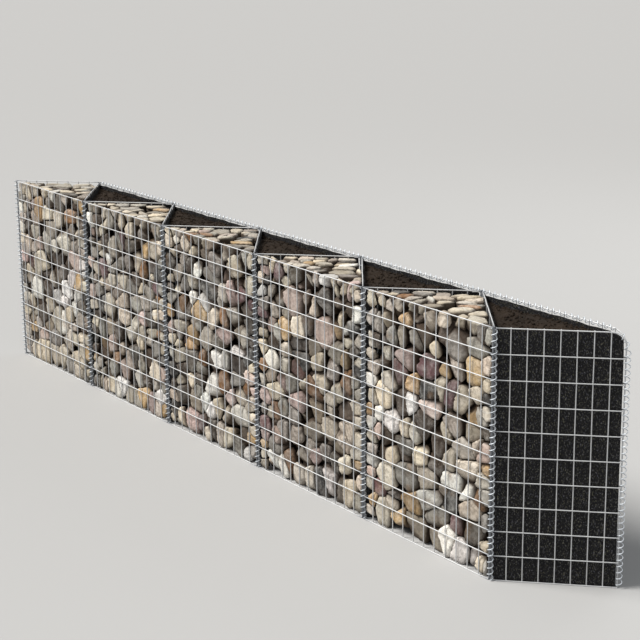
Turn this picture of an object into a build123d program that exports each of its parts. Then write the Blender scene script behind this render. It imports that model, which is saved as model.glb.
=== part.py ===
from build123d import *
from math import acos, cos, pi, sin, sqrt
import os

# Gabion planter wall: a zig-zag row of welded mesh panels laced together by wire spirals.
# Seen from above, triangles filled with stone alternate with triangles lined with felt
# and filled with soil. X runs along the wall, the stone faces look towards -Y, Z is up.
# The origin is on the ground, under the middle of the wall.

# Driving dimensions
bay_count = 5
cell_width = 60.0
cell_height = 100.0
front_columns = 12
leg_columns = 8
mesh_rows = 10
mesh_wire = 4.5
weld_depth = 1.0
spiral_wire = 3.6
turns_per_row = 4
rail_turns_per_cell = 2
rail_radius = 9.0
rail_lean = 0.12
corner_radius = 72.0
corner_drop = 6.0
corner_gap = 52.5
bend_pitch = 34.0
back_bend = 64.0
end_bend = 50.0
felt_thickness = 4.0
felt_below_top = 12.0
soil_below_top = 24.0
stones_below_top = 6.0

# Clearances
wire_gap = 0.3
fill_gap = 0.3

# How finely a round turn is divided
turn_sides = 8
wire_sides = 4
end_wire_sides = 8

# The plan: joints on the front line and joints half a bay on at the back
bay_length = front_columns * cell_width
leg_length = leg_columns * cell_width
wall_depth = sqrt(leg_length**2 - (bay_length / 2) ** 2)
wall_length = (bay_count + 0.5) * bay_length
front_joints = [Vector(i * bay_length - wall_length / 2, -wall_depth / 2) for i in range(bay_count + 1)]
back_joints = [p + Vector(bay_length / 2, wall_depth) for p in front_joints]
row_line = mesh_wire / 2
top_line = row_line + mesh_rows * cell_height
wall_top = top_line + mesh_wire / 2
outer_layer = mesh_wire - weld_depth

# The upright at each end of a panel stands inside the spiral, just clear of its neighbour
fan_angle = acos(bay_length / 2 / leg_length)
end_wire_offset = (mesh_wire + wire_gap) / (2 * sin(fan_angle / 2))
held_radius = end_wire_offset + mesh_wire / 2
spiral_radius = (held_radius + wire_gap + spiral_wire / 2) / cos(pi / turn_sides)
spiral_reach = spiral_radius + spiral_wire / 2
spiral_pitch = cell_height / turns_per_row
lace_start = row_line + spiral_pitch / turn_sides

# The rail spiral winds round the back top wires
rail_pitch = cell_width / rail_turns_per_cell
rail_reach = rail_radius + spiral_wire / 2
rail_cross = 3 * pi / turn_sides  # how far round its turn the rail passes behind the top wire
corner_line = top_line - corner_drop

# The fills stand clear of the panels and of the spirals
wall_inset = mesh_wire / 2 + fill_gap
corner_blunt = spiral_reach + fill_gap
felt_top = wall_top - felt_below_top
soil_top = wall_top - soil_below_top
stones_top = wall_top - stones_below_top
soil_clearance = felt_thickness + fill_gap


def wire_bar(length_x, length_z):
    """A straight mesh wire, from its lower left end."""
    return Box(length_x, mesh_wire, length_z, align=(Align.MIN, Align.CENTER, Align.MIN))


def end_upright(height):
    """The rounded upright at a panel's end, which leaves room for its neighbours in the spiral."""
    return extrude(RegularPolygon(mesh_wire / 2, end_wire_sides, rotation=180 / end_wire_sides), height)


def bent_top_wire(length, bend):
    """The top wire of a panel whose far upper corner is rounded, bent down to the end upright."""
    far = length - end_wire_offset
    with BuildLine() as path:
        Line((end_wire_offset, 0, top_line), (far - bend, 0, top_line))
        TangentArc((far - bend, 0, top_line), (far, 0, top_line - bend), tangent=(1, 0, 0))
    start = path.line @ 0
    section = Plane(origin=start, z_dir=(1, 0, 0)) * Rectangle(mesh_wire, mesh_wire)
    return sweep(section, path=path.line)


def mesh_panel(columns, layer_offset, bend=0):
    """A welded panel along +X: uprights on the panel's line, rows beside them at -Y."""
    length = columns * cell_width
    near = end_wire_offset
    far = length - end_wire_offset
    far_height = top_line - bend + mesh_wire if bend else wall_top
    bars = [Pos(near, 0, 0) * end_upright(wall_top), Pos(far, 0, 0) * end_upright(far_height)]
    for i in range(1, columns):
        bars.append(Pos(i * cell_width - mesh_wire / 2, 0, 0) * wire_bar(mesh_wire, wall_top))
    for row in range(mesh_rows + 1):
        if bend and row == mesh_rows:
            bars.append(Pos(0, -layer_offset, 0) * bent_top_wire(length, bend))
        else:
            bars.append(Pos(near, -layer_offset, row * cell_height) * wire_bar(far - near, mesh_wire))
    return bars[0].fuse(*bars[1:])


def between(start, end):
    """The place of a panel that runs from one joint to another, rows on its right-hand side."""
    run = end - start
    return Location(Plane(origin=start, x_dir=run, z_dir=(0, 0, 1)))


def lace(points):
    """A bent wire of few sides through the given points."""
    path = Polyline(*points)
    section = Plane(origin=path @ 0, z_dir=path % 0) * RegularPolygon(spiral_wire / 2, wire_sides)
    return sweep(section, path=path, transition=Transition.RIGHT)


def upright_spiral(height):
    """A spiral round a joint at the origin; its turns pass midway between the mesh rows."""
    steps = int((height - lace_start - spiral_wire) / spiral_pitch * turn_sides)
    points = []
    for step in range(steps + 1):
        turn = step / turn_sides
        angle = 2 * pi * (turn - 1 / turn_sides)
        points.append((spiral_radius * cos(angle), spiral_radius * sin(angle), lace_start + turn * spiral_pitch))
    return lace(points)


def rail_spiral(start_x, end_x):
    """The spiral along the back top wires; each turn crosses steeply, midway between two uprights."""
    first = rail_pitch / 2
    steps = int((end_x - start_x - first - rail_pitch * rail_lean - spiral_wire) / rail_pitch * turn_sides)
    points = []
    for step in range(steps + 1):
        angle = 2 * pi * step / turn_sides
        past_crossing = angle - rail_cross
        x = start_x + first + rail_pitch * (past_crossing / (2 * pi) - rail_lean * sin(past_crossing))
        points.append((x, outer_layer - rail_radius * cos(angle), top_line - rail_radius * sin(angle)))
    return lace(points)


def corner_spiral():
    """The spiral up the last back joint, bent over at the top to meet the rail."""
    straight = corner_line - corner_radius
    end_lean = acos(1 - (corner_gap - spiral_wire) / corner_radius)
    points = []
    along = lace_start
    lean = 0
    while lean < end_lean:
        angle = 2 * pi * (len(points) - 1) / turn_sides + pi
        reach = corner_radius + spiral_radius * cos(angle)
        x = reach * cos(lean) - corner_radius
        z = min(along, straight) + reach * sin(lean)
        points.append((x, spiral_radius * sin(angle), z))
        along += (spiral_pitch if along < straight else bend_pitch) / turn_sides
        lean = max(0, along - straight) / corner_radius
    return lace(points)


def pocket_plan(corners, inset, blunt):
    """A triangle set in from the panels and blunted at each corner to clear the spirals."""
    plan = Polygon(*[(p.X, p.Y) for p in corners], align=None)
    plan = offset(plan, -inset, kind=Kind.INTERSECTION)
    size = 2 * bay_length
    for corner in corners:
        sides = [(p - corner).normalized() for p in corners if p is not corner]
        inward = (sides[0] + sides[1]).normalized()
        cut = corner + inward * blunt
        frame = Plane(origin=(cut.X, cut.Y, 0), x_dir=(inward.X, inward.Y, 0), z_dir=(0, 0, 1))
        plan = plan & (frame * Rectangle(size, size, align=(Align.MIN, Align.CENTER)))
    return plan


def prism(corners, clearance, low, high):
    """An upright block on a blunted triangle, that much further in than the fill's outside."""
    plan = pocket_plan(corners, wall_inset + clearance, corner_blunt + clearance)
    return Pos(0, 0, low) * extrude(plan, high - low)


def stone_fill(corners):
    """The block that the packed stones fill."""
    return prism(corners, 0, 0, stones_top)


def felt_liner(corners):
    """A felt tub with a floor, open at the top."""
    return prism(corners, 0, 0, felt_top) - prism(corners, felt_thickness, felt_thickness, wall_top)


def soil_fill(corners):
    """The soil standing in its liner."""
    return prism(corners, soil_clearance, soil_clearance, soil_top)


def bend_room(corner):
    """The space that the bent spiral sweeps above a back joint."""
    reach = spiral_reach + fill_gap
    middle = (corner.X - corner_radius, corner.Y, corner_line - corner_radius)
    block = Pos(*middle) * Box(bay_length, 2 * reach, wall_top, align=(Align.MIN, Align.CENTER, Align.MIN))
    core = Pos(*middle) * Rot(90, 0, 0) * Cylinder(corner_radius - reach, 4 * reach)
    return block - core


# The assembly
front_panel = mesh_panel(front_columns, outer_layer)
end_panel = mesh_panel(leg_columns, outer_layer)
divider_panel = mesh_panel(leg_columns, 0)
round_back_panel = mirror(mesh_panel(front_columns, outer_layer, back_bend), Plane.XZ)
round_end_panel = mesh_panel(leg_columns, outer_layer, end_bend)
front_spiral = upright_spiral(wall_top)
back_spiral = Rot(0, 0, 180) * upright_spiral(top_line - rail_reach)

parts = {}
for i in range(bay_count):
    front, next_front = front_joints[i], front_joints[i + 1]
    back, next_back = back_joints[i], back_joints[i + 1]
    last = i == bay_count - 1
    liner = felt_liner([next_front, next_back, back])
    soil = soil_fill([next_front, next_back, back])
    if last:
        liner, soil = liner - bend_room(next_back), soil - bend_room(next_back)
        parts[f"back_mesh_{i + 1}"] = between(back, next_back) * round_back_panel
    else:
        parts[f"back_mesh_{i + 1}"] = between(next_back, back) * front_panel
        parts[f"divider_mesh_{2 * i + 2}"] = between(next_front, next_back) * divider_panel
    parts[f"front_mesh_{i + 1}"] = between(front, next_front) * front_panel
    parts[f"divider_mesh_{2 * i + 1}"] = between(back, next_front) * divider_panel
    parts[f"stone_fill_{i + 1}"] = stone_fill([front, next_front, back])
    parts[f"felt_liner_{i + 1}"] = liner
    parts[f"soil_fill_{i + 1}"] = soil
    parts[f"back_spiral_{i + 1}"] = Pos(back.X, back.Y, 0) * back_spiral
for i, joint in enumerate(front_joints):
    parts[f"front_spiral_{i + 1}"] = Pos(joint.X, joint.Y, 0) * front_spiral
first_back, last_back = back_joints[0], back_joints[-1]
parts["end_mesh_left"] = between(first_back, front_joints[0]) * end_panel
parts["end_mesh_right"] = between(front_joints[-1], last_back) * round_end_panel
parts["rail_spiral"] = Pos(0, first_back.Y, 0) * rail_spiral(first_back.X, last_back.X - corner_gap)
parts["corner_spiral"] = Pos(last_back.X, last_back.Y, 0) * corner_spiral()

os.makedirs("parts", exist_ok=True)
for name, shape in parts.items():
    export_step(shape, f"parts/{name}.step", write_pcurves=False)
print(len(parts), "parts, wall", wall_length, "x", wall_depth, "x", wall_top)
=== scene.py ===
from math import acos, ceil, cos, pi, radians, sin, sqrt

import bpy
import numpy as np
from mathutils import Matrix, Vector


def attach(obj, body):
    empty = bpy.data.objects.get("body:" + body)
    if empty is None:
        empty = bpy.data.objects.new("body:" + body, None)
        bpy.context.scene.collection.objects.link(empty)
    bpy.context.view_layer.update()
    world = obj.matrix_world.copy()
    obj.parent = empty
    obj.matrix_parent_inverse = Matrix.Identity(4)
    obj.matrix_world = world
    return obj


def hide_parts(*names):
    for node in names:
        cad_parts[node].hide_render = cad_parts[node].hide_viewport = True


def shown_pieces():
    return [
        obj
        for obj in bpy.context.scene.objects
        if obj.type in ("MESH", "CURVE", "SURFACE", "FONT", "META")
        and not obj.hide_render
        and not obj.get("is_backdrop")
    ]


# Gabion planter wall: round mesh wire and spirals, loose cobbles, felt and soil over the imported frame.

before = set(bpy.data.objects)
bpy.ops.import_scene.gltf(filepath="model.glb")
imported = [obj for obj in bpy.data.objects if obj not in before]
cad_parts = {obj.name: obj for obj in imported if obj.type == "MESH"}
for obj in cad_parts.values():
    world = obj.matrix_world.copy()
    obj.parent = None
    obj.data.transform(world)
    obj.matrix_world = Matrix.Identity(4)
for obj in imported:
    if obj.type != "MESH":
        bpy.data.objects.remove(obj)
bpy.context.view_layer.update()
print("frame loaded", len(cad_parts), "nodes")

# The plan, as the frame has it, in metres
plan = {
    "bays": 5,
    "cell": 0.06,
    "row": 0.1,
    "frontColumns": 12,
    "legColumns": 8,
    "rows": 10,
    "top": 1.0045,
}
bayLength = plan["frontColumns"] * plan["cell"]
legLength = plan["legColumns"] * plan["cell"]
wallDepth = sqrt(legLength ** 2 - (bayLength / 2) ** 2)
wallLength = (plan["bays"] + 0.5) * bayLength
frontJoints = [Vector((i * bayLength - wallLength / 2, -wallDepth / 2, 0)) for i in range(plan["bays"] + 1)]
backJoints = [p + Vector((bayLength / 2, wallDepth, 0)) for p in frontJoints]


# Helpers for modelling
def pick(*objects):
    # only these are selected, the first is active
    bpy.ops.object.select_all(action="DESELECT")
    for obj in objects:
        obj.select_set(True)
    bpy.context.view_layer.objects.active = objects[0]
    return objects[0]


def settle():
    # the place goes into the mesh
    bpy.ops.object.transform_apply(location=True, rotation=True, scale=True)
    return bpy.context.object


def repeat(obj, step, count, merged=False):
    pick(obj)
    array = obj.modifiers.new("repeat", "ARRAY")
    array.use_relative_offset = False
    array.use_constant_offset = True
    array.constant_offset_displace = step
    array.count = count
    array.use_merge_vertices = merged
    array.merge_threshold = 1e-5
    bpy.ops.object.modifier_apply(modifier=array.name)
    return obj


def joined(objects, name):
    obj = pick(*objects)
    bpy.ops.object.join()
    obj.name = name
    return obj


def smooth(obj, angle=40):
    pick(obj)
    bpy.ops.object.shade_smooth_by_angle(angle=radians(angle))
    return obj


def intoScene(name, data):
    obj = bpy.data.objects.new(name, data)
    bpy.context.scene.collection.objects.link(obj)
    return obj


def editOnly(obj, kind, wanted):
    # edit mode, with only the wanted edges or faces selected
    pick(obj)
    bpy.ops.object.mode_set(mode="EDIT")
    bpy.ops.mesh.select_mode(type=kind)
    bpy.ops.mesh.select_all(action="DESELECT")
    bpy.ops.object.mode_set(mode="OBJECT")
    for element in obj.data.edges if kind == "EDGE" else obj.data.polygons:
        element.select = wanted(element)
    bpy.ops.object.mode_set(mode="EDIT")


def points(obj):
    co = np.empty(len(obj.data.vertices) * 3)
    obj.data.vertices.foreach_get("co", co)
    return co.reshape(-1, 3)


def setPoints(obj, co):
    obj.data.vertices.foreach_set("co", np.ascontiguousarray(co, dtype=np.float32).ravel())
    obj.data.update()


def giveAttribute(obj, name, values):
    # numbers or vectors on the points, for the finish to read
    kind, key = ("FLOAT", "value") if values.ndim == 1 else ("FLOAT_VECTOR", "vector")
    data = obj.data.attributes.new(name, kind, "POINT").data
    data.foreach_set(key, values.astype(np.float32).ravel())


def meshFrom(name, co, faces):
    # one object from arrays of points and faces of one kind
    mesh = bpy.data.meshes.new(name)
    sides = faces.shape[1]
    mesh.vertices.add(len(co))
    mesh.vertices.foreach_set("co", co.astype(np.float32).ravel())
    mesh.loops.add(faces.size)
    mesh.loops.foreach_set("vertex_index", faces.astype(np.int32).ravel())
    mesh.polygons.add(len(faces))
    mesh.polygons.foreach_set("loop_start", np.arange(0, faces.size, sides, dtype=np.int32))
    mesh.update(calc_edges=True)
    mesh.validate()
    return intoScene(name, mesh)


def wireAlong(path, thickness, resolution, name):
    # a round wire through the points, with closed ends
    line = bpy.data.curves.new(name, "CURVE")
    line.dimensions = "3D"
    line.bevel_depth = thickness / 2
    line.bevel_resolution = resolution
    line.use_fill_caps = True
    spline = line.splines.new("POLY")
    spline.points.add(len(path) - 1)
    for knot, p in zip(spline.points, path):
        knot.co = (p[0], p[1], p[2], 1)
    pick(intoScene(name, line))
    bpy.ops.object.convert(target="MESH")
    return smooth(bpy.context.object, 60)


def placeFrom(along, across, up, origin):
    # a place as a matrix, from its three axes and its origin
    place = Matrix.Identity(4)
    for k, axis in enumerate((along, across, up, origin)):
        place[0][k], place[1][k], place[2][k] = axis
    return place


def between(start, end):
    # the place of a panel that runs from one joint to another
    along = (end - start).normalized()
    up = Vector((0, 0, 1))
    return placeFrom(along, up.cross(along), up, start)


def pocketCorners(i):
    # the joints round a soil pocket
    return [frontJoints[i + 1], backJoints[i + 1], backJoints[i]]


def cornerWays(corners, k):
    # from one joint: towards the next, towards the last, and midway between them
    toNext = (corners[(k + 1) % 3] - corners[k]).normalized()
    toLast = (corners[(k + 2) % 3] - corners[k]).normalized()
    return toNext, toLast, (toNext + toLast).normalized()


def runsOf(loop):
    # each point with the next, and the last with the first
    return zip(loop, loop[1:] + loop[:1])


# Helpers for finishes
class Socket:
    # a shader socket that takes part in sums
    def __init__(self, tree, link):
        self.tree, self.link = tree, link

    def maths(self, operation, a, b=None):
        node = self.tree.nodes.new("ShaderNodeMath")
        node.operation = operation
        for slot, value in zip(node.inputs, (a, b)):
            if isinstance(value, Socket):
                self.tree.links.new(value.link, slot)
            elif value is not None:
                slot.default_value = value
        return Socket(self.tree, node.outputs[0])

    def __add__(self, other):
        return self.maths("ADD", self, other)

    def __radd__(self, other):
        return self.maths("ADD", other, self)

    def __sub__(self, other):
        return self.maths("SUBTRACT", self, other)

    def __rsub__(self, other):
        return self.maths("SUBTRACT", other, self)

    def __mul__(self, other):
        return self.maths("MULTIPLY", self, other)

    def __rmul__(self, other):
        return self.maths("MULTIPLY", other, self)


class Finish:
    def __init__(self, name, **fixed):
        self.material = bpy.data.materials.new(name)
        self.material.use_nodes = True
        self.tree = self.material.node_tree
        self.shader = self.tree.nodes["Principled BSDF"]
        for key, value in fixed.items():
            self.shader.inputs[key].default_value = value

    def node(self, kind, settings=None, out=0, **inputs):
        # any node: its type, its settings, then the values or links of its sockets
        node = self.tree.nodes.new("ShaderNode" + kind)
        for key, value in (settings or {}).items():
            if key == "stops":
                ramp = node.color_ramp
                while len(ramp.elements) < len(value):
                    ramp.elements.new(0.5)
                for stop, (place, colour) in zip(ramp.elements, value):
                    stop.position, stop.color = place, (*colour, 1)
            elif key == "spread":       # how a ramp runs from stop to stop
                node.color_ramp.interpolation = value
            else:
                setattr(node, key, value)
        for key, value in inputs.items():
            # n and a number is a socket's place, any other word its name
            byPlace = key[0] == "n" and key[1:].isdigit()
            slot = node.inputs[int(key[1:]) if byPlace else key.replace("_", " ")]
            if isinstance(value, Socket):
                self.tree.links.new(value.link, slot)
            else:
                slot.default_value = value
        return Socket(self.tree, node.outputs[out])

    def feed(self, **inputs):
        for key, value in inputs.items():
            self.tree.links.new(value.link, self.shader.inputs[key.replace("_", " ")])

    def place(self):
        return self.node("TexCoord", out=3)

    def attribute(self, name, out):
        return self.node("Attribute", {"attribute_name": name}, out)

    def noise(self, vector, scale, detail=3, roughness=0.5):
        return self.node("TexNoise", Vector=vector, Scale=scale, Detail=detail, Roughness=roughness)

    def ramp(self, value, stops, spread="LINEAR"):
        return self.node("ValToRGB", {"stops": stops, "spread": spread}, Fac=value)

    def mix(self, factor, a, b, blend="MIX"):
        colour = lambda c: c if isinstance(c, Socket) else (*c, 1)
        return self.node("Mix", {"data_type": "RGBA", "blend_type": blend}, 2,
                         n0=factor, n6=colour(a), n7=colour(b))

    def bump(self, height, strength, distance):
        return self.node("Bump", Height=height, Strength=strength, Distance=distance)


def window(finish, value, low, high):
    # 0 below low, 1 above high
    return finish.node("MapRange", {"clamp": True}, Value=value, n1=low, n2=high, n3=0.0, n4=1.0)


# Camera
camera = {
    "place": (5.0112, -3.8385, 2.5845),
    "turn": -49.9288,       # degrees from +Y, clockwise seen from above is plus
    "down": 12.4807,
    "roll": 0.5312,
    "lens": 79.96,
    "shift": -0.1875,
}


def makeCamera():
    turn, down, roll = (radians(camera[k]) for k in ("turn", "down", "roll"))
    look = Vector((sin(turn) * cos(down), cos(turn) * cos(down), -sin(down)))
    right = Vector((cos(turn), -sin(turn), 0))
    downward = look.cross(right)
    side = right * cos(roll) + downward * sin(roll)
    up = right * sin(roll) - downward * cos(roll)
    data = bpy.data.cameras.new("camera")
    data.lens = camera["lens"]
    data.sensor_width = 36
    data.shift_y = camera["shift"]
    data.clip_end = 200
    obj = intoScene("camera", data)
    obj.matrix_world = placeFrom(side, up, -look, camera["place"])
    bpy.context.scene.camera = obj


makeCamera()
print("camera placed")


# Finishes
def makeZinc(name, tone):
    # dulled hot-dip zinc: fine spangle, paler and darker stretches, a little white bloom
    zinc = Finish(name, **{"Specular IOR Level": 0.5})
    where = zinc.place()
    stretch = zinc.noise(where, 26, 3, 0.6)
    spangle = zinc.noise(where, 900, 2, 0.6)
    bloom = window(zinc, zinc.noise(where, 60, 4, 0.65), 0.54, 0.68)
    base = zinc.mix(stretch, tuple(0.80 * c for c in tone), tuple(min(1, 1.14 * c) for c in tone))
    base = zinc.mix(spangle * 0.5, base, tuple(0.72 * c for c in tone))
    base = zinc.mix(bloom * 0.5, base, (0.66, 0.67, 0.68))
    # painted shade: the end uprights inside the spirals are darkened towards a dark bluish grey
    base = zinc.mix(zinc.attribute("laced", 2) * 0.70, base, (0.13, 0.145, 0.17))
    zinc.feed(Base_Color=base, Metallic=0.60 - bloom * 0.35, Roughness=0.50 + spangle * 0.18 + bloom * 0.15,
              Normal=zinc.bump(spangle, 0.12, 0.0004))
    return zinc.material


def makeStone():
    stone = Finish("river cobbles", **{"Specular IOR Level": 0.35})
    kind = stone.attribute("stoneKind", 2)
    shade = stone.attribute("stoneShade", 2)
    streak = stone.attribute("stoneStreak", 2)
    local = stone.attribute("stonePlace", 1)
    tones = stone.ramp(kind, [
        (0.00, (0.79, 0.695, 0.565)), (0.18, (0.63, 0.57, 0.49)), (0.34, (0.47, 0.44, 0.395)),
        (0.45, (0.27, 0.25, 0.225)), (0.52, (0.62, 0.425, 0.22)), (0.58, (0.68, 0.53, 0.49)),
        (0.65, (0.115, 0.098, 0.080)), (0.71, (0.98, 0.96, 0.93)), (0.81, (0.32, 0.160, 0.065)),
        (0.865, (0.070, 0.048, 0.034)), (0.93, (0.026, 0.027, 0.029)), (0.97, (0.170, 0.085, 0.095)),
    ], "CONSTANT")
    # some are pinkish, some yellowish, some greenish
    tint = stone.ramp(streak, [
        (0.0, (1.0, 0.90, 0.88)), (0.3, (1.0, 1.0, 0.99)),
        (0.6, (1.0, 0.94, 0.80)), (1.0, (0.95, 1.0, 0.97)),
    ])
    tones = stone.mix(0.72, tones, tint, "MULTIPLY")
    cloudy = stone.noise(local, 20, 4, 0.62)
    mottle = stone.noise(local, 75, 5, 0.68)
    fine = stone.noise(local, 190, 4, 0.7)
    grain = stone.noise(local, 620, 2, 0.6)
    pale = stone.mix(0.5, tones, (0.86, 0.83, 0.77))
    deep = stone.mix(0.60, tones, (0.065, 0.046, 0.030))
    base = stone.mix(window(stone, cloudy, 0.40, 0.66) * 0.7, tones, pale)
    base = stone.mix(window(stone, mottle, 0.47, 0.64) * 0.6, base, deep)
    base = stone.mix(window(stone, 1 - mottle, 0.54, 0.70) * 0.5, base, pale)
    # iron stain on some, in patches
    rust = window(stone, stone.noise(local, 13, 3, 0.55), 0.52, 0.68) * window(stone, streak, 0.60, 0.85)
    base = stone.mix(rust * 0.5, base, (0.30, 0.175, 0.085))
    # bedding lines on others, quartz veins on a few
    bands = stone.node("TexWave", {"wave_type": "BANDS", "bands_direction": "Z"},
                       1, Vector=local, Scale=26.0, Distortion=5.0, Detail=3.0, Detail_Scale=1.4)
    lines = window(stone, bands, 0.45, 0.95) * window(stone, 1 - streak, 0.62, 0.8)
    base = stone.mix(lines * 0.5, base, deep)
    vein = stone.noise(local, 5, 1, 0.5)
    vein = 1 - window(stone, stone.node("Math", {"operation": "ABSOLUTE"}, n0=vein - 0.5), 0.002, 0.008)
    base = stone.mix(vein * window(stone, shade, 0.90, 0.92) * 0.5, base, (0.74, 0.72, 0.68))
    base = stone.mix(window(stone, grain, 0.56, 0.72) * 0.5, base, deep)
    darker = stone.ramp(shade, [(0, (0.50, 0.50, 0.50)), (1, (1.0, 1.0, 1.0))])
    base = stone.mix(1.0, base, darker, "MULTIPLY")
    # earth in the gaps and painted shade between the stones, darker away from the faces in view
    dirtAndShade = window(stone, stone.attribute("stoneDepth", 2) + cloudy * 0.010, 0.009, 0.027)
    base = stone.mix(dirtAndShade * 0.92, base, (0.048, 0.028, 0.015))
    height = cloudy * 0.8 + mottle * 0.7 + fine * 0.4 + grain * 0.14 - lines * 0.25
    stone.feed(Base_Color=base, Roughness=0.62 + fine * 0.3, Normal=stone.bump(height, 1.0, 0.005))
    return stone.material


def makeFelt():
    felt = Finish("needled felt", **{"Specular IOR Level": 0.08})
    where = felt.place()
    fibres = felt.noise(where, 420, 4, 0.75)
    lint = felt.noise(felt.node("Mapping", n3=(1.0, 1.0, 0.62), Vector=where), 210, 3, 0.75)
    hue = felt.noise(where, 130, 2, 0.6)
    patch = felt.noise(where, 9, 3, 0.6)
    flecks = window(felt, lint, 0.53, 0.70)
    base = felt.mix(fibres, (0.003, 0.003, 0.004), (0.026, 0.026, 0.029))
    base = felt.mix(patch * 0.5, base, (0.012, 0.011, 0.009))
    lintColour = felt.mix(window(felt, hue, 0.4, 0.6), (0.17, 0.17, 0.20), (0.20, 0.19, 0.13))
    base = felt.mix(flecks * 0.8, base, lintColour)
    felt.feed(Base_Color=base, Roughness=0.86 + fibres * 0.12,
              Normal=felt.bump(fibres + lint * 0.5, 0.8, 0.0018))
    return felt.material


def makeSoil():
    soil = Finish("planting soil", Roughness=0.95, **{"Specular IOR Level": 0.15})
    where = soil.place()
    crumb = soil.noise(where, 130, 5, 0.7)
    damp = soil.noise(where, 8, 3, 0.55)
    specks = window(soil, soil.noise(where, 340, 2, 0.6), 0.68, 0.74)
    base = soil.mix(crumb, (0.007, 0.0045, 0.003), (0.036, 0.024, 0.015))
    base = soil.mix(window(soil, damp, 0.4, 0.65) * 0.5, base, (0.011, 0.008, 0.006))
    base = soil.mix(specks * 0.5, base, (0.14, 0.10, 0.07))
    soil.feed(Base_Color=base, Normal=soil.bump(crumb, 0.9, 0.005))
    return soil.material


meshZinc = makeZinc("galvanised mesh wire", (0.61, 0.615, 0.62))
spiralZinc = makeZinc("galvanised spiral wire", (0.70, 0.74, 0.78))
stoneFinish = makeStone()
feltFinish = makeFelt()
soilFinish = makeSoil()
print("finishes made")


def finished(obj, finish, slotName, *nodes):
    # the piece gets its finish and stands for the frame's nodes
    obj.data.materials.clear()
    obj.data.materials.append(finish)
    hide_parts(*nodes)
    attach(obj, "root")


# Welded mesh
mesh = {
    "wire": 0.0045,
    "sides": 8,
    "weldDepth": 0.001,
    "wireGap": 0.0003,      # between neighbours in a spiral
    "nugget": 0.0029,       # radius of the flat at a weld
    "nuggetOut": 0.0003,    # how far it lies outside the line where the two wires touch
    "bow": 0.0022,          # how far the stones push a panel out in its middle
    "waver": 0.0005,        # small bends of each wire
    "waves": 6,             # how many waves they are made of
    "bows": {"front": 1, "back": 0.5, "divider": 0, "left": 0.8, "right": 0.5},     # shares of the bow
    "backBend": 0.064,      # radius of the rounded upper corners
    "endBend": 0.050,
    "bendSteps": 10,
    "farPaintedCoilShade": 0.3,        # how much painted shade the upright under a rounded corner gets, against the others
    "seed": 11,
}
wireRadius = mesh["wire"] / 2
fanHalf = acos(bayLength / 2 / legLength) / 2
endOffset = (mesh["wire"] + mesh["wireGap"]) / (2 * sin(fanHalf))
topLine = plan["rows"] * plan["row"] + wireRadius
outerLayer = mesh["wire"] - mesh["weldDepth"]


def straightWire(start, upright, length, pieces):
    # short lengths end to end, so that it can be bowed later
    piece = length / pieces
    run = Vector((0, 0, 1)) if upright else Vector((1, 0, 0))
    bpy.ops.mesh.primitive_cylinder_add(vertices=mesh["sides"], radius=wireRadius, depth=piece,
                                        end_fill_type="NOTHING", location=Vector(start) + run * piece / 2,
                                        rotation=(0, 0 if upright else pi / 2, 0))
    wire = repeat(settle(), run * piece, pieces, merged=True)
    bpy.ops.object.mode_set(mode="EDIT")
    bpy.ops.mesh.select_all(action="SELECT")
    bpy.ops.mesh.fill_holes(sides=0)
    bpy.ops.object.mode_set(mode="OBJECT")
    return wire


def weldRow(x, y):
    # the nuggets up one upright
    bpy.ops.mesh.primitive_ico_sphere_add(subdivisions=1, radius=mesh["nugget"],
                                          location=(x, y, wireRadius), scale=(1, 0.62, 0.75))
    return repeat(settle(), (0, 0, plan["row"]), plan["rows"] + 1)


def meshPanel(name, columns, layer, bend=0):
    length = columns * plan["cell"]
    near, far = endOffset, length - endOffset
    wires = []
    inner = straightWire((plan["cell"], 0, 0), True, plan["top"], plan["rows"])
    wires.append(repeat(inner, (plan["cell"], 0, 0), columns - 1))
    wires.append(straightWire((near, 0, 0), True, plan["top"], plan["rows"]))
    farTop = topLine - bend + wireRadius if bend else plan["top"]
    wires.append(straightWire((far, 0, 0), True, farTop, plan["rows"]))
    over = wireRadius * 0.6     # the rows end a little past the end uprights' middles
    rows = straightWire((near - over, -layer, wireRadius), False, far - near + 2 * over, columns)
    wires.append(repeat(rows, (0, 0, plan["row"]), plan["rows"] + (0 if bend else 1)))
    if bend:
        path = [(near - over, -layer, topLine)]
        path += [(plan["cell"] * k, -layer, topLine) for k in range(1, columns - 1)]
        for k in range(mesh["bendSteps"] + 1):
            turn = pi / 2 * k / mesh["bendSteps"]
            path.append((far - bend + bend * sin(turn), -layer, topLine - bend + bend * cos(turn)))
        wires.append(wireAlong(path, mesh["wire"], 2, "bent top wire"))
    if layer:
        for x in [near] + [plan["cell"] * k for k in range(1, columns)] + [far]:
            if bend and x == far:
                continue
            wires.append(weldRow(x, -layer / 2 - mesh["nuggetOut"]))
    return smooth(joined(wires, name), 50)


def bowed(panel, length, bow, rng, farPaintedCoilShade):
    # the panel leans on its fill: its middle stands out a little and each wire wavers
    co = points(panel)
    # most at mid-length, a little below mid-height
    u = np.clip(co[:, 0] / length, 0, 1)
    v = np.clip(co[:, 2] / plan["top"], 0, 1)
    push = bow * np.sin(pi * u) ** 0.8 * np.sin(pi * np.clip(v * 0.9 + 0.1, 0, 1)) ** 0.7
    ends = np.sin(pi * u)
    waves = np.zeros(len(co))
    drift = np.zeros(len(co))
    for k in range(mesh["waves"]):
        f, g = rng.uniform(2, 13), rng.uniform(2, 11)
        waves += np.sin(f * u * pi + g * v * pi + rng.uniform(0, 2 * pi)) / 2.4
        drift += np.sin(g * u * pi - f * v * pi + rng.uniform(0, 2 * pi)) / 2.4
    co[:, 1] += mesh["waver"] * waves * ends - push
    co[:, 0] += mesh["waver"] * drift * ends * 0.8
    # painted shade: the end uprights are darkened inside the spirals, where the coil shades them
    laced = (np.minimum(co[:, 0], length - co[:, 0]) < endOffset + wireRadius * 1.1).astype(np.float32)
    laced[co[:, 0] > length / 2] *= farPaintedCoilShade
    giveAttribute(panel, "laced", laced)
    setPoints(panel, co)


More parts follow.
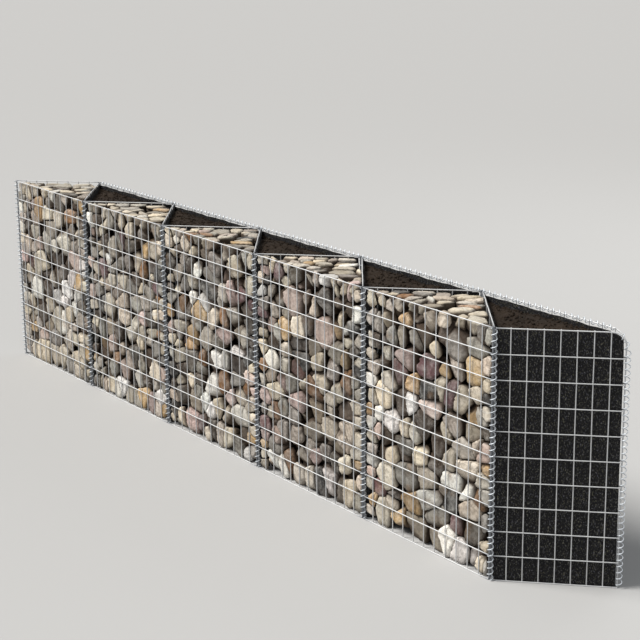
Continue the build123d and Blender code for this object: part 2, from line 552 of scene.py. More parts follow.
def makeMesh():
    rng = np.random.default_rng(mesh["seed"])
    front = meshPanel("front pattern", plan["frontColumns"], outerLayer)
    leg = meshPanel("end pattern", plan["legColumns"], outerLayer)
    divider = meshPanel("divider pattern", plan["legColumns"], 0)
    roundBack = meshPanel("round back pattern", plan["frontColumns"], outerLayer, mesh["backBend"])
    roundEnd = meshPanel("round end pattern", plan["legColumns"], outerLayer, mesh["endBend"])
    # each panel's node, pattern, first and last joint, and bow
    places = []
    bows = mesh["bows"]
    for i in range(plan["bays"]):
        at, following = frontJoints[i:i + 2]
        behind, behindNext = backJoints[i:i + 2]
        last = i == plan["bays"] - 1
        places.append((f"front_mesh_{i + 1}", front, at, following, bows["front"]))
        if last:
            places.append((f"back_mesh_{i + 1}", roundBack, behind, behindNext, bows["back"]))
        else:
            places.append((f"back_mesh_{i + 1}", front, behindNext, behind, bows["back"]))
        places.append((f"divider_mesh_{2 * i + 1}", divider, behind, following, bows["divider"]))
        if not last:
            places.append((f"divider_mesh_{2 * i + 2}", divider, following, behindNext, bows["divider"]))
    places.append(("end_mesh_left", leg, backJoints[0], frontJoints[0], bows["left"]))
    places.append(("end_mesh_right", roundEnd, frontJoints[-1], backJoints[-1], bows["right"]))
    for node, pattern, start, end, bow in places:
        panel = intoScene("wire_" + node, pattern.data.copy())
        farPaintedCoilShade = mesh["farPaintedCoilShade"] if pattern in (roundBack, roundEnd) else 1
        bowed(panel, (end - start).length, mesh["bow"] * bow, rng, farPaintedCoilShade)
        if pattern is roundBack:    # its rows are on the other side
            panel.data.transform(Matrix.Diagonal((1, -1, 1, 1)))
            panel.data.flip_normals()
        panel.data.transform(between(start, end))
        finished(panel, meshZinc, "mesh", node)
    for pattern in (front, leg, divider, roundBack, roundEnd):
        bpy.data.objects.remove(pattern)


makeMesh()
print("mesh panels made")


# Spirals
spiral = {
    "wire": 0.0036,
    "radius": 0.0111,
    "perTurn": 14,               # points in a turn
    "frameSteps": 8,             # the same in the frame's spirals, and these end where those do
    "pitch": 0.025,
    "start": 0.005375,
    "railPitch": 0.03,
    "railRadius": 0.0087,
    "railLean": 0.12,            # the turns cross the panels steeply and run on behind them
    "railCross": 3 / 16,         # how far round a turn it crosses
    "cornerLine": 0.99625,
    "cornerGap": 0.0525,
    "bendRadius": 0.072,
    "bendPitch": 0.034,
    "bendReach": 0.0146,         # soil and felt keep this far below the middle line of the bent stretch
    "besideBend": 0.004,         # and so much more to its sides
    "uneven": 0.0003,
    "seed": 5,
}


def uneven(rng, count):
    # a slow random change along the wire
    step = 9
    knots = rng.uniform(-1, 1, count // step + 3)
    return np.interp(np.arange(count) / step, np.arange(len(knots)), knots) * spiral["uneven"]


def wholeSteps(turns):
    # so many turns, cut to the last whole step of the frame's
    return int(turns * spiral["frameSteps"]) / spiral["frameSteps"]


def uprightSpiral(joint, top, phase, rng, name):
    turns = wholeSteps((top - spiral["start"] - spiral["wire"]) / spiral["pitch"])
    count = int(turns * spiral["perTurn"]) + 1
    turn = np.arange(count) / spiral["perTurn"]
    angle = 2 * pi * turn + phase
    reach = spiral["radius"] + uneven(rng, count)
    z = spiral["start"] + turn * spiral["pitch"] + uneven(rng, count)
    return wireAlong(np.column_stack((joint.x + reach * np.cos(angle), joint.y + reach * np.sin(angle), z)),
                     spiral["wire"], 1, name)


def railSpiral(rng):
    pitch, lean = spiral["railPitch"], spiral["railLean"]
    startX = backJoints[0].x + pitch / 2
    endX = backJoints[-1].x - spiral["cornerGap"]
    turns = wholeSteps((endX - startX - pitch * lean - spiral["wire"]) / pitch)
    count = int(turns * spiral["perTurn"]) + 1
    turn = np.arange(count) / spiral["perTurn"]
    past = turn - spiral["railCross"]
    reach = spiral["railRadius"] + uneven(rng, count)
    x = startX + pitch * (past - lean * np.sin(2 * pi * past)) + uneven(rng, count)
    y = backJoints[0].y + outerLayer - reach * np.cos(2 * pi * turn)
    z = topLine - reach * np.sin(2 * pi * turn)
    return wireAlong(np.column_stack((x, y, z)), spiral["wire"], 1, "wire_rail_spiral")


def cornerSpiral():
    # up the last back joint, then bent over towards the rail
    joint, bend = backJoints[-1], spiral["bendRadius"]
    straight = spiral["cornerLine"] - bend
    endLean = acos(1 - (spiral["cornerGap"] - spiral["wire"]) / bend)
    path, along, lean, k = [], spiral["start"], 0, 0
    while lean < endLean:
        angle = 2 * pi * (k / spiral["perTurn"] - 1 / spiral["frameSteps"]) + pi
        reach = bend + spiral["radius"] * cos(angle)
        path.append((joint.x + reach * cos(lean) - bend, joint.y + spiral["radius"] * sin(angle),
                     min(along, straight) + reach * sin(lean)))
        along += (spiral["pitch"] if along < straight else spiral["bendPitch"]) / spiral["perTurn"]
        lean = max(0, along - straight) / bend
        k += 1
    return wireAlong(path, spiral["wire"], 1, "wire_corner_spiral")


def makeSpirals():
    rng = np.random.default_rng(spiral["seed"])
    underRail = topLine - spiral["railRadius"] - spiral["wire"] / 2
    for side, joints, top, phase in (("front", frontJoints, plan["top"], -pi / 4),
                                     ("back", backJoints[:-1], underRail, pi - pi / 4)):
        for i, joint in enumerate(joints):
            node = f"{side}_spiral_{i + 1}"
            finished(uprightSpiral(joint, top, phase, rng, "wire_" + node), spiralZinc, "spiral", node)
    finished(railSpiral(rng), spiralZinc, "spiral", "rail_spiral")
    finished(cornerSpiral(), spiralZinc, "spiral", "corner_spiral")


makeSpirals()
print("spirals made")


# Cobbles
cobble = {
    "fill": 1.02,               # nominal stone against the bay's room, before they are cut to each other
    "long": (0.052, 0.118),     # half of the longest side, least and most
    "sizeSpread": 1.0,          # above 1, small ones are more common
    "middle": (0.56, 0.90),     # shares of the long side
    "thin": (0.27, 0.48),
    "slips": [
        # upright ones that fill the corners: which, how far in, half sizes, how many up the corner
        ((0, 1), (0.032, 0.044), (0.064, 0.030, 0.0125), 10),
        ((0, 1), (0.082, 0.098), (0.068, 0.038, 0.024), 9),
        ((0, 1), (0.128, 0.150), (0.072, 0.044, 0.034), 8),
        ((2,), (0.038, 0.050), (0.054, 0.036, 0.028), 11),
    ],
    "pressed": 0.86,            # share of a stone's reach that it keeps at a face in view, cut flat there
    "pressedTop": 0.56,         # the same at the rim
    "pressedElse": 0.88,        # and at the bay's other sides
    "sunkTop": 0.007,           # how far below the rim the lowest of the upper ones ends
    "topLayer": 0.09,           # the upper ones stand on end at the front, on edge behind it
    "behindFront": 0.05,        # where behind begins
    "caps": (44, (0.044, 0.028, 0.010), (0.092, 0.044, 0.017)),     # thin ones there: count, half sizes
    "startIn": 0.02,            # at first no middle is nearer than this to ground or rim
    "capStart": 0.05,           # and those of the thin ones are this near to the rim
    "flatSide": (1.3, 0.40),    # pull of the nearest face on the flat sides, and their spread
    "topThin": (-0.70, 0.72, 0),    # which way the flat sides of those on edge face
    "topSpread": 0.22,
    "paleKinds": 0.42,          # up to this kind they are pale
    "paleShare": (0.22, 0.14, 0.0, 0.10, 0.0),      # this share of each bay's stones is made pale
    "rimZone": 0.06,            # this near to the rim more are, partly paler stones, partly painted light on the top
    "paleTop": 0.72,
    "topPaintedLight": 0.25,           # and no shade is lower than this, which paints light on the top
    "setBack": 0.020,           # how far behind the face the deepest of the front row lies
    "inset": 0.0026,            # from the panel's line to the outermost of them
    "blunt": 0.0144,            # from a joint to the nearest of them
    "top": 0.998,
    "rounds": 130,              # of pushing them apart
    "growth": (0.72, 0.36),     # their size in the first round, and what it gains by the last
    "apart": 0.22,              # share of an overlap that a round undoes
    "comeUp": (0.035, 0.12),    # this near to a face in view they come up to it, by that share
    "leastIn": 0.007,           # no stone's middle is nearer to a wall
    "fit": {
        # how blocky it is (2 is an ellipsoid), how far it may outgrow its nominal size
        # where there is room, and half of the space left between two
        "body": ((2.1, 4.0), 1.32, 0.0033),
        "rim": ((1.6, 2.2), 1.8, 0.0025),       # pointed flakes
        "tip": ((2.6, 5.0), 2.3, 0.0008),       # close together, where the wall is one stone thick
    },
    "tipReach": 0.23,           # this near to the wall's free front corner
    "neighbours": 33,           # how many may cut a stone
    "facets": (6, 12),          # how many split faces, and how far out they are
    "facetOut": (0.58, 0.92),
    "worn": (18, 60),           # low is rounded, high is sharp-edged
    "dents": 12,
    "rough": 0.012,             # depth of a dent, as a share of the stone's reach
    "rimDirtAndShade": 1.9,             # how much sooner the earth and painted shade show below the rim than behind a face
    "tipDirtAndShade": 2.0,             # and between the close ones at the free corner
    "fineFrom": 0.058,          # smaller ones have fewer faces
    "shown": 0.026,             # this near to a face in view, a cobble is finely made
    "behind": 0.090,            # this near, it is roughly made; further in, none
    "seed": 42,
}
frontWall, endWall, rimWall = 0, 2, 7       # their places among a bay's walls
stoneMarks = ("stoneKind", "stoneShade", "stoneStreak")     # random numbers that the finish reads


def unit(v):
    return v / np.maximum(np.linalg.norm(v, axis=-1, keepdims=True), 1e-9)


def bayWalls(corners):
    # planes n.p >= c that keep a stone in: three panels, three blunted corners, ground and rim
    corners = [np.array(c) for c in corners]
    centre = sum(corners) / 3
    normals, limits = [], []
    for k in range(3):
        a, b = corners[k], corners[(k + 1) % 3]
        n = unit(np.array((-(b - a)[1], (b - a)[0], 0.0)))
        n = n if n @ (centre - a) > 0 else -n
        normals.append(n)
        limits.append(n @ a + cobble["inset"])
    for k in range(3):
        n = unit(unit(corners[(k + 1) % 3] - corners[k]) + unit(corners[(k + 2) % 3] - corners[k]))
        normals.append(n)
        limits.append(n @ corners[k] + cobble["blunt"])
    normals += [np.array((0, 0, 1.0)), np.array((0, 0, -1.0))]
    limits += [0.001, -cobble["top"]]
    return np.array(normals), np.array(limits)


def cobbleSizes(rng):
    low, high = cobble["long"]
    room = bayLength * wallDepth / 2 * cobble["top"]
    halves, filled = [], 0
    while filled < cobble["fill"] * room:
        size = low + (high - low) * rng.random() ** cobble["sizeSpread"]
        halves.append(size * np.array((1, rng.uniform(*cobble["middle"]), rng.uniform(*cobble["thin"]))))
        filled += 4 / 3 * pi * np.prod(halves[-1])
    return np.array(halves)


def strewn(corner, rng):
    # stones anywhere in the bay, and thin ones below its rim
    capCount, least, most = cobble["caps"]
    half = np.concatenate((cobbleSizes(rng), rng.uniform(least, most, (capCount, 3))))
    count, highest = len(half), cobble["top"] - cobble["startIn"]
    mixing = rng.random((count, 2))
    flip = mixing.sum(1) > 1
    mixing[flip] = 1 - mixing[flip]
    at = corner[0] + mixing[:, :1] * (corner[1] - corner[0]) + mixing[:, 1:] * (corner[2] - corner[0])
    at[:, 2] = rng.uniform(cobble["startIn"], highest, count)
    at[-capCount:, 2] = rng.uniform(cobble["top"] - cobble["capStart"], highest, capCount)
    return at, half


def cornerSlips(corner, normals, rng):
    # upright slips up the corners
    at, half = [], []
    for which, wayIn, size, count in cobble["slips"]:
        for k in which:
            for step in range(count):
                z = (step + rng.uniform(0.3, 0.7)) / count * cobble["top"]
                at.append(corner[k] + normals[3 + k] * rng.uniform(*wayIn) + (0, 0, z))
                half.append(np.array(size) * rng.uniform(0.8, 1.15, 3))
    return at, half


def layStones(at, normals, limits, sides, slipCount, rng):
    # they stand on edge, the flat side towards the nearest upright face in view
    depth = at @ normals[sides].T - limits[sides]
    flat = normals[np.array(sides)[depth.argmin(1)]]
    flat[-slipCount:] = normals[frontWall]
    pull, spread = cobble["flatSide"]
    thin = unit(flat * pull + rng.normal(0, spread, (len(at), 3)))
    turn = rng.uniform(-0.5, 0.5, len(at)) * pi
    turn[-slipCount:] = pi / 2 + rng.normal(0, 0.15, slipCount)
    upper = at[:, 2] > cobble["top"] - cobble["topLayer"]
    turn[upper] = pi / 2 + rng.normal(0, 0.25, upper.sum())
    onEdge = upper & (depth.min(1) > cobble["behindFront"])
    onEdge[-slipCount:] = False
    turn[onEdge] = rng.normal(0, 0.2, onEdge.sum())
    lean = rng.normal(0, cobble["topSpread"], (onEdge.sum(), 3)) * (1, 1, 0.5)
    flat[onEdge] = unit(np.array(cobble["topThin"]) + lean)
    thin[onEdge] = flat[onEdge]
    up = np.array((0, 0, 1.0))
    longAxis = unit(np.cross(flat, up)) * np.cos(turn)[:, None] + up * np.sin(turn)[:, None] * 0.8
    longAxis = unit(longAxis - (longAxis * thin).sum(1, keepdims=True) * thin)
    return np.stack((longAxis, np.cross(thin, longAxis), thin), 1), onEdge


def pushApart(at, axes, normals, limits, inView):
    # they grow and move until they hardly overlap and none passes a wall
    pressed = np.full(len(normals), cobble["pressedElse"])
    pressed[inView] = cobble["pressed"]
    pressed[rimWall] = cobble["pressedTop"]
    others = 1 - np.eye(len(at))
    small, gain = cobble["growth"]
    nearFace, share = cobble["comeUp"]
    for k in range(cobble["rounds"]):
        grown = axes * min(1, small + gain * k / cobble["rounds"])
        apart = at[None] - at[:, None]
        far = np.sqrt((apart ** 2).sum(2)) + 1 - others
        way = apart / far[..., None]
        reach = np.sqrt((np.matmul(way, np.swapaxes(grown, 1, 2)) ** 2).sum(2))
        overlap = np.clip(reach + reach.T - far, 0, None) * others
        at = at - (way * overlap[..., None]).sum(1) * cobble["apart"]
        wallReach = np.linalg.norm(np.einsum("wk,ilk->iwl", normals, grown), axis=2)
        room = at @ normals.T - limits - wallReach * pressed
        at = at + (np.clip(-room, 0, None)[..., None] * normals[None]).sum(1) * 0.8
        # those close to a face in view come right up to it
        loose = room[:, inView]
        pull = np.where((loose > 0) & (loose < nearFace), loose, 0) * share
        at = at - (pull[..., None] * normals[inView][None]).sum(1)
        tight = np.clip(limits + cobble["leastIn"] - at @ normals.T, 0, None)
        at = at + (tight[..., None] * normals[None]).sum(1)
    return at


def packBay(corners, rng, endShown):
    # where the cobbles that fill a bay are, how they lie and what keeps them in
    normals, limits = bayWalls(corners)
    corner = [np.array(c) for c in corners]
    at, half = strewn(corner, rng)
    slips, slipHalf = cornerSlips(corner, normals, rng)
    at, half = np.concatenate((at, slips)), np.concatenate((half, slipHalf))
    inView = [frontWall, rimWall] + ([endWall] if endShown else [])
    sides = [wall for wall in inView if wall != rimWall]
    axes, onEdge = layStones(at, normals, limits, sides, len(slips), rng)
    axes = axes * half[:, :, None]
    setBack = np.zeros((len(at), len(normals)))
    setBack[:, sides] = cobble["setBack"] * rng.random((len(at), 1)) ** 2.5
    setBack[-len(slips):] = 0
    setBack[:, rimWall] = cobble["sunkTop"] * rng.random(len(at)) ** 1.5
    limits = limits + setBack
    return {"at": pushApart(at, axes, normals, limits, inView), "axes": axes, "half": half,
            "normals": normals, "limits": limits, "inView": inView, "onEdge": onEdge}


def icoPattern(level, cuts=0):
    bpy.ops.mesh.primitive_ico_sphere_add(subdivisions=level, radius=1)
    obj = bpy.context.object
    if cuts:
        bpy.ops.object.mode_set(mode="EDIT")
        bpy.ops.mesh.subdivide(number_cuts=cuts)
        bpy.ops.mesh.quads_convert_to_tris()
        bpy.ops.object.mode_set(mode="OBJECT")
    co = unit(points(obj))
    faces = np.array([list(p.vertices) for p in obj.data.polygons])
    bpy.data.objects.remove(obj)
    return co, faces


def softLeast(reaches, power):
    # the least of several, blended where they are close, which rounds the edges between them
    return (reaches ** -power).sum(-1) ** (-1 / power)


def shapeStone(i, bay, fit, ways, rng):
    # a blocky stone with a few split facets, cut by the planes midway to its neighbours
    at, axes, half = bay["at"], bay["axes"], bay["half"][i]
    own = axes[i] / half[:, None]
    squares, swell, gap = cobble["fit"][fit]
    square = rng.uniform(*squares)

    def block(way):
        # how far its rounded block reaches that way
        return ((np.abs(way @ own.T) / half) ** square).sum(-1) ** (-1 / square)

    blockReach = block(ways) * swell * rng.uniform(0.93, 1.05)
    facets = unit(rng.normal(0, 1, (rng.integers(*cobble["facets"]), 3)))
    facetAt = block(facets) * swell * rng.uniform(*cobble["facetOut"], len(facets))
    facetReach = facetAt / np.clip(ways @ facets.T, 1e-3, None)
    offset = at - at[i]
    far = np.linalg.norm(offset, axis=1)
    near = np.argsort(far)[1:cobble["neighbours"] + 1]
    way = offset[near] / far[near, None]
    mine = np.linalg.norm(way @ axes[i].T, axis=1)
    theirs = np.linalg.norm(np.einsum("jk,jlk->jl", way, axes[near]), axis=1)
    touching = far[near] < (mine + theirs) * 1.3
    way, mine, theirs, gone = way[touching], mine[touching], theirs[touching], far[near][touching]
    cut = gone * mine / (mine + theirs) - gap * rng.uniform(0.3, 1.6, len(gone))
    neighbourReach = cut / np.clip(ways @ way.T, 1e-3, None)
    toWall = np.maximum(at[i] @ bay["normals"].T - bay["limits"][i], 0.004)
    wallReach = toWall / np.clip(-(ways @ bay["normals"].T), 1e-3, None)
    worn = rng.uniform(*cobble["worn"])
    reach = np.column_stack((blockReach, softLeast(neighbourReach, worn),
                             softLeast(facetReach, worn * 1.3), softLeast(wallReach, 30)))
    reach = softLeast(reach, worn)
    rough = np.ones(len(ways))
    for k in range(cobble["dents"]):
        lobe = unit(rng.normal(0, 1, 3))
        rough += cobble["rough"] * np.sin(ways @ lobe * rng.uniform(2, 9) + rng.uniform(0, 2 * pi))
    reach = np.minimum(reach * rough * 1.02, wallReach.min(1) * 0.998)
    return at[i] + ways * reach[:, None], own


def stoneLook(b, upper, rng):
    # kind, shade and streak of one stone
    kind = rng.random()
    # near the rim more pale kinds and a higher least shade: partly paler stones there, partly painted light
    # on the top
    if rng.random() < (cobble["paleTop"] if upper else cobble["paleShare"][b]):
        kind *= cobble["paleKinds"]
    shade, streak = rng.random(), rng.random()
    if upper:
        shade = cobble["topPaintedLight"] + shade * (1 - cobble["topPaintedLight"])
    return kind, shade, streak


def makeBay(b, patterns, rng):
    # one bay's cobbles; returns how many there are, and how many near a face in view
    corners = [frontJoints[b], frontJoints[b + 1], backJoints[b]]
    bay = packBay(corners, rng, b == 0)
    at, inView = bay["at"], bay["inView"]
    normals = bay["normals"][inView]
    reachIn = np.linalg.norm(np.einsum("wk,ilk->iwl", normals, bay["axes"]), axis=2)
    clear = (at @ normals.T - bay["limits"][:, inView] - reachIn).min(1)
    faceLimits = bayWalls(corners)[1][inView]
    # earth and painted shade: the gaps darken sooner below the rim and between the close stones at the free
    # corner
    dirtAndShade = np.where(np.array(inView) == rimWall, cobble["rimDirtAndShade"], 1)
    fromTip = np.linalg.norm((at - np.array(corners[0]))[:, :2], axis=1)
    store = {name: [] for name in ("points", "faces", *stoneMarks, "stoneDepth", "stonePlace")}
    chosen = np.nonzero(clear < cobble["behind"])[0]
    base = 0
    for i in chosen:
        large = bay["half"][i, 0] > cobble["fineFrom"]
        detail = "rough" if clear[i] >= cobble["shown"] else "fine" if large else "plain"
        ways, faces = patterns[detail]
        atTip = b == 0 and fromTip[i] < cobble["tipReach"]
        fit = "rim" if bay["onEdge"][i] else "tip" if atTip else "body"
        co, own = shapeStone(i, bay, fit, ways, rng)
        store["points"].append(co)
        store["faces"].append(faces + base)
        base += len(co)
        store["stonePlace"].append((co - at[i]) @ own.T + rng.uniform(-8, 8, 3))
        look = stoneLook(b, at[i, 2] > cobble["top"] - cobble["rimZone"], rng)
        for name, value in zip(stoneMarks, look):
            store[name].append(np.full(len(co), value))
        inwards = (co @ normals.T - faceLimits) * dirtAndShade * (cobble["tipDirtAndShade"] if fit == "tip" else 1)
        store["stoneDepth"].append(inwards.min(1))
    whole = {name: np.concatenate(values) for name, values in store.items()}
    obj = meshFrom(f"cobbles_{b + 1}", whole.pop("points"), whole.pop("faces"))
    for name, values in whole.items():
        giveAttribute(obj, name, values)
    pick(obj)
    bpy.ops.object.shade_smooth()
    finished(obj, stoneFinish, "stones", f"stone_fill_{b + 1}")
    return len(chosen), (clear < cobble["shown"]).sum()


def makeCobbles():
    rng = np.random.default_rng(cobble["seed"])
    patterns = {"fine": icoPattern(2, 2), "plain": icoPattern(3), "rough": icoPattern(2)}
    counts = [makeBay(b, patterns, rng) for b in range(plan["bays"])]
    total, near = np.sum(counts, axis=0)
    print("cobbles", total, "of them near a face in view", near)


makeCobbles()


# Felt liners
felt = {
    "thickness": 0.0036,
    "inset": 0.0046,        # from the panel's line to the middle of the cloth
    "base": 0.0032,
    "top": 0.9975,
    "backTop": 0.9925,
    "step": 0.012,          # about how far apart its points are, round the pocket and upwards
    "rise": 0.0325,
    "pillow": 0.0017,       # how far it swells out between the wires
    "blunt": 0.0166,
    "spiralRoom": 0.05,     # this near to a joint it hardly swells
    "edge": 0.05,           # the last stretch below its top edge hangs slack, by so much
    "slack": 0.0012,
    "edgeWaves": ((0.0012, 0.31), (0.0009, 0.83)),      # of that edge: height, turn from point to point
    "edgeDrop": 0.002,      # how far their middle lies below the top
    "ripple": 0.0006,
    "overlap": 0.05,        # of the sheet's two ends
    "seed": 7,
}


def pocketLoop(corners, inset, blunt):
    # the points of the triangle inset from the panels and blunted at the joints, in order
    loop = []
    for k in range(3):
        a = corners[k]
        toNext, toLast, bisector = cornerWays(corners, k)
        halfAngle = acos(max(-1, min(1, bisector.dot(toNext))))
        # points where the blunting line crosses the two inset sides
        across = Vector((-bisector.y, bisector.x, 0))
        if across.dot(toLast) < 0:
            across = -across
        halfWidth = blunt * (sin(halfAngle) / cos(halfAngle)) - inset / cos(halfAngle)
        if halfWidth <= 0.0005:     # the inset sides meet before they get to it
            loop.append(a + bisector * (inset / sin(halfAngle)))
        else:
            middle = a + bisector * blunt
            loop += [middle + across * halfWidth, middle - across * halfWidth]
    return loop


def bendRoom(p, corner):
    # how high soil and felt may stand under the bent spiral
    noLimit = 10.0
    if corner is None:
        return noLimit
    reach = spiral["bendReach"]
    straight = spiral["cornerLine"] - spiral["bendRadius"]
    inner = spiral["bendRadius"] - reach
    dx = p.x - (corner.x - spiral["bendRadius"])
    if dx <= 0 or abs(p.y - corner.y) > reach + spiral["besideBend"]:
        return noLimit
    return straight + sqrt(max(0, inner ** 2 - min(dx, inner) ** 2))


def underBentWire(run):
    # how high the felt stands behind the end panel's bent top wire, that far from the joint
    bend = mesh["endBend"]
    short = max(0, min(bend, endOffset + bend - run))
    return topLine - bend + sqrt(bend ** 2 - short ** 2) - mesh["wire"]


def feltAt(p, corners, last):
    # how much of the full swell between the wires the cloth has here, and how high it stands
    swell, height = 0, felt["backTop"]
    room = bendRoom(p, corners[1] if last else None)
    for c in range(3):
        a, b = corners[c], corners[(c + 1) % 3]
        side, length = (b - a).normalized(), (b - a).length
        if abs((p - a).cross(side).z) >= felt["inset"] + 0.0005:    # not on this side
            continue
        run = (p - a).dot(side)
        stoneBehind = c == 2 or (c == 0 and not last)
        swell = 0 if stoneBehind else sin(pi * run / plan["cell"]) ** 2
        if run < felt["spiralRoom"] or run > length - felt["spiralRoom"]:
            swell *= 0.2
        if c != 1:
            height = felt["top"]
        if c == 0 and last:
            room = underBentWire(length - run)
    return swell, min(height, room)


def feltWalls(name, loop, corners, last, phases):
    # the cloth's walls, from points at even steps round the loop
    stations = []
    for a, b in runsOf(loop):
        count = max(1, ceil((b - a).length / felt["step"]))
        stations += [a.lerp(b, k / count) for k in range(count)]
    count = len(stations)
    levels = ceil(felt["top"] / felt["rise"])
    centre = sum(corners, Vector()) / 3
    co = np.empty((levels + 1, count, 3))
    for s, p in enumerate(stations):
        along = (stations[(s + 1) % count] - stations[s - 1]).normalized()
        out = Vector((along.y, -along.x, 0))
        if out.dot(p - centre) < 0:
            out = -out
        swell, top = feltAt(p, corners, last)
        top -= felt["edgeDrop"]
        for (height, turn), phase in zip(felt["edgeWaves"], phases):
            top += height * sin(s * turn + phase)
        for k in range(levels + 1):
            z = felt["base"] + (top - felt["base"]) * k / levels
            ripple = felt["ripple"] * sin(z * 21 + phases[2] + s * 0.05) * (1 - swell)
            edge = max(0, 1 - (top - z) / felt["edge"])
            slack = felt["slack"] * edge * (1 + sin(s * 0.4 + phases[3]))
            q = p + out * (swell * felt["pillow"] * (1 - edge) - abs(ripple) - slack)
            co[k, s] = (q.x, q.y, z)
    faces = []
    for k in range(levels):
        for s in range(count):
            t = (s + 1) % count
            faces.append((k * count + s, k * count + t, (k + 1) * count + t, (k + 1) * count + s))
    return meshFrom(name, co.reshape(-1, 3), np.array(faces)), count


def makeFelts():
    rng = np.random.default_rng(felt["seed"])
    for i in range(plan["bays"]):
        corners = pocketCorners(i)
        loop = pocketLoop(corners, felt["inset"], felt["blunt"])
        phases = rng.uniform(0, 2 * pi, 6)
        obj, count = feltWalls(f"felt_{i + 1}", loop, corners, i == plan["bays"] - 1, phases)
        # the floor, filled across the bottom edge
        editOnly(obj, "EDGE", lambda edge: all(v < count for v in edge.vertices))
        bpy.ops.mesh.edge_face_add()
        bpy.ops.mesh.select_all(action="SELECT")
        bpy.ops.mesh.normals_make_consistent(inside=False)
        bpy.ops.object.mode_set(mode="OBJECT")
        wall = obj.modifiers.new("thickness", "SOLIDIFY")
        wall.thickness = felt["thickness"]
        wall.offset = 0
        bpy.ops.object.modifier_apply(modifier=wall.name)
        smooth(obj, 50)
        finished(obj, feltFinish, "felt", f"felt_liner_{i + 1}")
        around = sum((b - a).length for a, b in runsOf(loop))


makeFelts()


# Soil
soil = {
    "top": 0.9825,
    "base": 0.0056,
    "inset": 0.0070,
    "blunt": 0.0188,
    "cuts": 58,             # how often its top face is divided
    "lumps": 0.0045,
    "waves": [(14, 0.8), (30, 0.6), (55, 0.5), (95, 0.36), (150, 0.28), (260, 0.2), (260, 0.2)],
    "fall": 0.012,          # how far its edge lies below the top
    "rise": 0.010,          # how much higher its middle is than its edge
    "riseRun": 0.06,        # this far in it has risen
    "underBend": 0.002,     # room left below the bent spiral, and over the crumbs there
    "crumbRoom": 0.010,
    "crumbs": 420,
    "crumbSize": (0.0022, 0.0075),
    "crumbsIn": 0.008,      # how far they stay from the blunted corners
    "seed": 19,
}


def fromSides(corners, x, y):
    # the way to the nearest of the pocket's three panels
    ways = []
    for a, b in runsOf(corners):
        run = b - a
        ways.append(np.abs((y - a.y) * run.x - (x - a.x) * run.y) / run.length)
    return np.min(ways, axis=0)


def soilLift(corners, x, y, waves):
    # how high the surface lies against its top: lumps, and a rise towards the middle
    lumps = sum(size * np.sin(f * x + g * y + start) for f, g, start, size in waves)
    rise = np.clip((fromSides(corners, x, y) - soil["inset"]) / soil["riseRun"], 0, 1)
    return soil["lumps"] * lumps + soil["rise"] * rise - soil["fall"]


def soilPrism(tips):
    # a three-sided prism whose points are moved to the pocket's tips
    bpy.ops.mesh.primitive_cylinder_add(vertices=3, radius=1, depth=1, location=(0, 0, 0))
    obj = bpy.context.object
    co = points(obj)
    centre = sum(tips, Vector()) / 3
    ordered = sorted(tips, key=lambda p: np.arctan2((p - centre).y, (p - centre).x))
    for level, z in ((co[:, 2] < 0, soil["base"]), (co[:, 2] > 0, soil["top"])):
        group = sorted(np.nonzero(level)[0], key=lambda k: np.arctan2(co[k, 1], co[k, 0]))
        for k, tip in zip(group, ordered):
            co[k] = (tip.x, tip.y, z)
    setPoints(obj, co)
    return obj


def looseCrumbs(corners, tips, cuts, waves, bent, rng):
    # small lumps strewn over the top face, clear of the felt and the spirals
    ways, faces = icoPattern(1)
    a, b, c = (np.array(p) for p in tips)
    least, most = soil["crumbSize"]
    co = []
    for k in range(soil["crumbs"]):
        u, v = rng.random(2)
        if u + v > 1:
            u, v = 1 - u, 1 - v
        p = a + u * (b - a) + v * (c - a)
        if any(n @ p < limit + soil["crumbsIn"] for n, limit in cuts):
            continue
        size = least + (most - least) * rng.random() ** 2.5
        if fromSides(corners, p[0], p[1]) < soil["inset"] + size:
            continue
        z = soil["top"] + soilLift(corners, p[0], p[1], waves)
        if bendRoom(Vector((p[0], p[1], z)), bent) < z + soil["crumbRoom"]:
            continue
        shape = ways * (size * rng.uniform(0.7, 1.2, 3)) * rng.uniform(0.82, 1.12, (len(ways), 1))
        co.append(shape + (p[0], p[1], z + size * 0.25))
    starts = np.arange(len(co)) * len(ways)
    crumbs = meshFrom("crumbs", np.concatenate(co), np.concatenate([faces + start for start in starts]))
    pick(crumbs)
    bpy.ops.object.shade_smooth()
    return crumbs


def makeSoils():
    rng = np.random.default_rng(soil["seed"])
    for i in range(plan["bays"]):
        corners = pocketCorners(i)
        bent = corners[1] if i == plan["bays"] - 1 else None    # the joint with the bent spiral
        tips, cuts = [], []
        for k, a in enumerate(corners):
            toNext, toLast, bisector = cornerWays(corners, k)
            tips.append(a + bisector * (soil["inset"] / sqrt(max(1e-6, 1 - bisector.dot(toNext) ** 2))))
            cuts.append((np.array(bisector), bisector.dot(a) + soil["blunt"]))
        obj = soilPrism(tips)
        editOnly(obj, "FACE", lambda face: face.normal.z > 0.9)
        bpy.ops.mesh.subdivide(number_cuts=soil["cuts"])
        bpy.ops.object.mode_set(mode="OBJECT")
        co = points(obj)
        for n, limit in cuts:       # the tips are pushed in, to clear the spirals
            co += np.clip(limit - co @ n, 0, None)[:, None] * n
        waves = [(rng.uniform(-1, 1) * f, rng.uniform(-1, 1) * f, rng.uniform(0, 6), size)
                 for f, size in soil["waves"]]
        lift = soilLift(corners, co[:, 0], co[:, 1], waves)
        for k in np.nonzero(co[:, 2] > soil["top"] / 2)[0]:
            co[k, 2] = min(co[k, 2] + lift[k], bendRoom(Vector(co[k]), bent) - soil["underBend"])
        setPoints(obj, co)
        smooth(obj, 70)
        crumbs = looseCrumbs(corners, tips, cuts, waves, bent, rng)
        finished(joined([obj, crumbs], f"soil_{i + 1}"), soilFinish, "soil", f"soil_fill_{i + 1}")


makeSoils()
print("soil made")


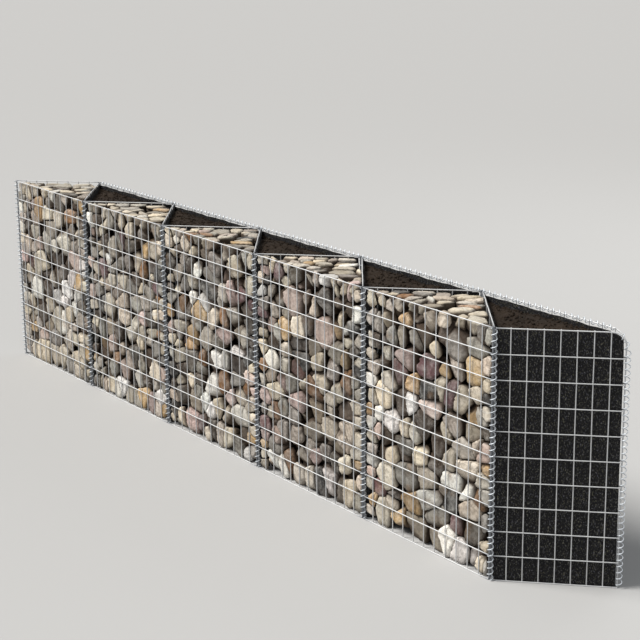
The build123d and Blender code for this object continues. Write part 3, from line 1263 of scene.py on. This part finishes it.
# Studio: a large soft key from the upper left, a weak fill from the right and one from behind
studio = {
    "floor": (0.42, 0.418, 0.414),
    "floorRadius": 40,
    "world": 0.25,              # strength of the light from all round
    "worldColour": (0.93, 0.96, 1.0),
    "worldSeen": (0.65, 0.65, 0.65),
    "key": {"place": (-3.6, -4.2, 7.0), "width": 26.0, "strength": 4.85, "colour": (1.0, 0.98, 0.945)},
    "lamps": [
        # name, place, aims at, size, power, colour
        ("fill", (6.0, -2.0, 3.0), (1.0, 0, 0.5), 3.0, 50, (0.95, 0.98, 1.0)),
        ("back", (0.0, 5.0, 4.5), (0, 0, 0.6), 4.0, 60, (0.97, 0.99, 1.0)),
    ],
}


def addLamp(name, kind, place, aim, **settings):
    data = bpy.data.lights.new(name, kind)
    for key, value in settings.items():
        setattr(data, key, value)
    lamp = intoScene(name, data)
    lamp.location = place
    lamp.rotation_euler = (Vector(aim) - Vector(place)).to_track_quat("-Z", "Y").to_euler()


def makeFloor():
    bpy.ops.mesh.primitive_circle_add(vertices=64, radius=studio["floorRadius"], fill_type="NGON")
    floor = bpy.context.object
    floor.name = "studio_floor"
    paint = Finish("floor paint", Roughness=0.85, **{"Specular IOR Level": 0.2})
    paint.shader.inputs["Base Color"].default_value = (*studio["floor"], 1)
    floor.data.materials.append(paint.material)
    floor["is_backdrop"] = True


def makeWorld():
    # soft light from all round, and a pale backdrop where it is seen or mirrored
    world = bpy.data.worlds.new("studio")
    bpy.context.scene.world = world
    world.use_nodes = True
    tree = world.node_tree
    light = tree.nodes["Background"]
    light.inputs["Color"].default_value = (*studio["worldColour"], 1)
    light.inputs["Strength"].default_value = studio["world"]
    seen = tree.nodes.new("ShaderNodeBackground")
    seen.inputs["Color"].default_value = (*studio["worldSeen"], 1)
    path = tree.nodes.new("ShaderNodeLightPath")
    either = tree.nodes.new("ShaderNodeMath")
    either.operation = "MAXIMUM"
    blend = tree.nodes.new("ShaderNodeMixShader")
    for start, end in ((path.outputs["Is Camera Ray"], either.inputs[0]),
                       (path.outputs["Is Glossy Ray"], either.inputs[1]),
                       (either.outputs[0], blend.inputs[0]),
                       (light.outputs[0], blend.inputs[1]),
                       (seen.outputs[0], blend.inputs[2]),
                       (blend.outputs[0], tree.nodes["World Output"].inputs[0])):
        tree.links.new(start, end)


def makeStudio():
    makeFloor()
    makeWorld()
    key = studio["key"]
    addLamp("key", "SUN", key["place"], (0, 0, 0),
            energy=key["strength"], color=key["colour"], angle=radians(key["width"]))
    for name, place, aim, size, power, colour in studio["lamps"]:
        addLamp(name, "AREA", place, aim, shape="SQUARE", size=size, energy=power, color=colour)


makeStudio()
bpy.context.scene.view_settings.view_transform = "Standard"
print("studio made")

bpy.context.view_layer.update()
shown = [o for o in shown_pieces() if o.type == "MESH"]
triangles = {o.name: sum(len(p.vertices) - 2 for p in o.data.polygons) for o in shown}
print("triangles", sum(triangles.values()), "largest", max(triangles.items(), key=lambda t: t[1]))
